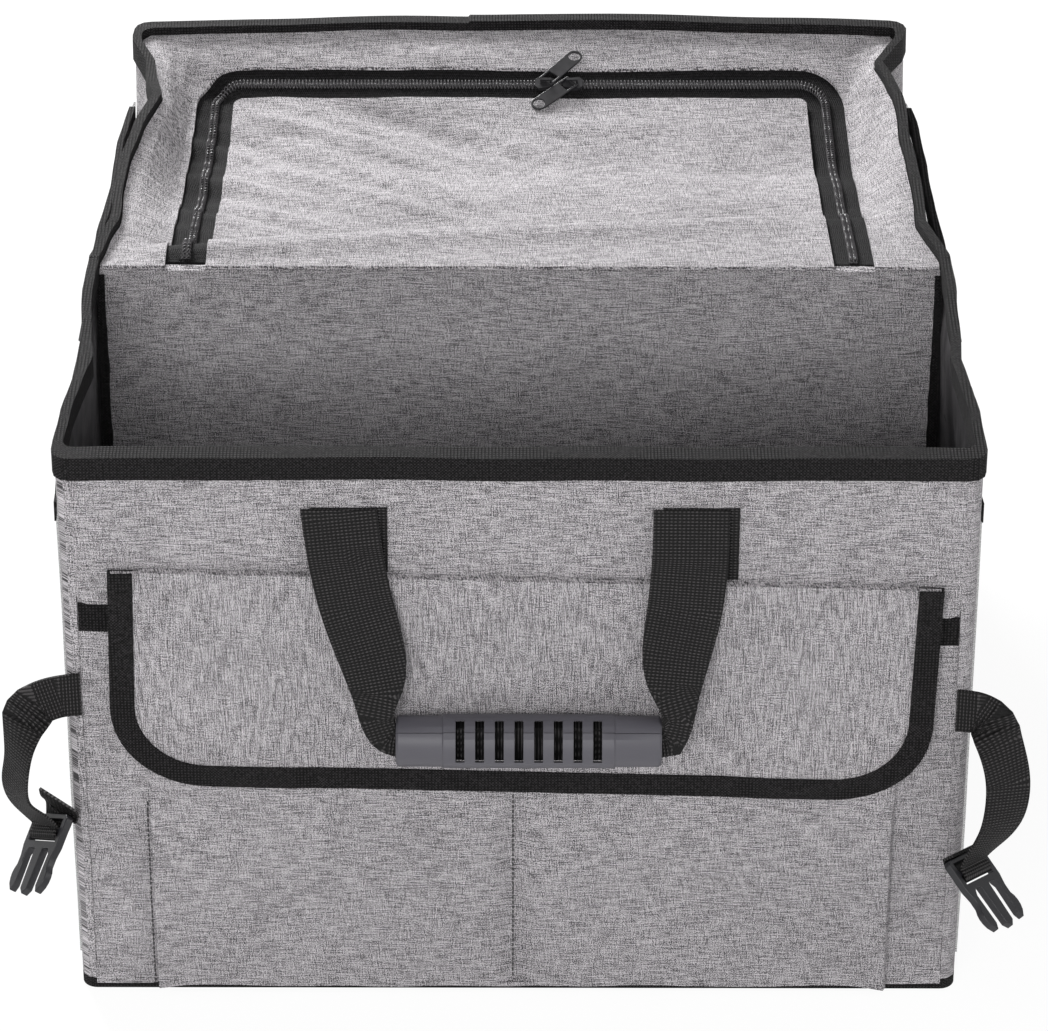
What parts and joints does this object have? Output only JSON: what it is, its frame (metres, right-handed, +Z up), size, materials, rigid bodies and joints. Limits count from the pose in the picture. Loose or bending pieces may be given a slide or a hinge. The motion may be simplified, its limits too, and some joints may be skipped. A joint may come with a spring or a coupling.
{
  "type": "trunk organizer",
  "caption": "Soft-sided rectangular trunk organizer of grey cloth with an open front compartment, a zip-lidded rear compartment, carrying handles and a flap pocket.",
  "frame": {"origin": "middle of the flat underside of the base", "axes": "+Z up, +X to the right seen from the front, +Y from the front pocket side towards the rear"},
  "size_m": [0.5304, 0.5639, 0.328],
  "materials": {
    "cloth": "matte heathered grey polyester",
    "lining": "smooth black coated cloth with a low sheen",
    "tape": "matte black ribbed binding tape",
    "webbing": "matte black woven webbing",
    "plastic": "fine-grained charcoal moulding",
    "zip_metal": "dark lacquered die casting",
    "board": "plain stiff board, hidden inside the cloth",
    "mesh": "black open knitted mesh"
  },
  "bodies": {
    "box": {"base_cloth": "tape", "base_board": "board", "front_floor_lining": "lining", "rear_floor_lining": "lining", "front_panel": "cloth", "front_board": "board", "front_band": "cloth", "rear_panel": "cloth", "rear_board": "board", "left_side_panel": "cloth", "right_side_panel": "cloth", "front_lining": "lining", "rear_lining": "lining", "divider_cover": "cloth", "divider_board": "board", "front_rim_binding": "tape", "rear_rim_binding": "tape", "front_pocket": "cloth", "pocket_mouth_binding": "tape", "pocket_flap": "cloth", "pocket_flap_binding": "tape", "left_mesh_pocket": "mesh", "left_mesh_binding": "tape", "right_mesh_pocket": "mesh", "right_mesh_binding": "tape", "lid_frame": "cloth", "frame_stringer": "tape", "front_webbing_end_left": "webbing", "front_webbing_end_right": "webbing", "rear_webbing_end_left": "webbing", "rear_webbing_end_right": "webbing", "left_strap": "webbing", "left_buckle_plug": "plastic", "left_socket_tab": "webbing", "left_buckle_socket": "plastic", "right_strap": "webbing", "right_buckle_plug": "plastic", "right_socket_tab": "webbing", "right_buckle_socket": "plastic"},
    "lid": {"lid_flap": "cloth", "lid_stringer": "tape"},
    "left_slider_body": {"left_slider": "zip_metal"},
    "right_slider_body": {"right_slider": "zip_metal"},
    "left_pull_tab": {"left_pull": "zip_metal"},
    "right_pull_tab": {"right_pull": "zip_metal"},
    "front_handle": {"front_handle_webbing": "webbing", "front_grip_upper": "plastic", "front_grip_lower": "plastic"},
    "rear_handle": {"rear_handle_webbing": "webbing", "rear_grip_upper": "plastic", "rear_grip_lower": "plastic"}
  },
  "joints": [
    {"name": "lid_hinge", "type": "hinge", "parent": "box", "child": "lid", "pos_m": [0, -0.0391, 0.3223], "axis": [1, 0, 0], "range_deg": [0, 150]},
    {"name": "left_slider_travel", "type": "slide", "parent": "lid", "child": "left_slider_body", "axis": [-1, 0, 0], "range_m": [0, 0.15]},
    {"name": "right_slider_travel", "type": "slide", "parent": "lid", "child": "right_slider_body", "axis": [1, 0, 0], "range_m": [0, 0.115]},
    {"name": "left_pull_swing", "type": "hinge", "parent": "left_slider_body", "child": "left_pull_tab", "pos_m": [0.0145, 0.19856, 0.31178], "axis": [0.766, -0.6038, -0.2206], "range_deg": [0, 150]},
    {"name": "right_pull_swing", "type": "hinge", "parent": "right_slider_body", "child": "right_pull_tab", "pos_m": [0.0295, 0.19856, 0.31178], "axis": [-0.6691, 0.698, 0.255], "range_deg": [0, 150]},
    {"name": "front_handle_swing", "type": "hinge", "parent": "box", "child": "front_handle", "pos_m": [0.005, -0.2425, 0.2982], "axis": [-1, 0, 0], "range_deg": [0, 160]},
    {"name": "rear_handle_swing", "type": "hinge", "parent": "box", "child": "rear_handle", "pos_m": [0.005, 0.2503, 0.2982], "axis": [1, 0, 0], "range_deg": [0, 160]}
  ]
}
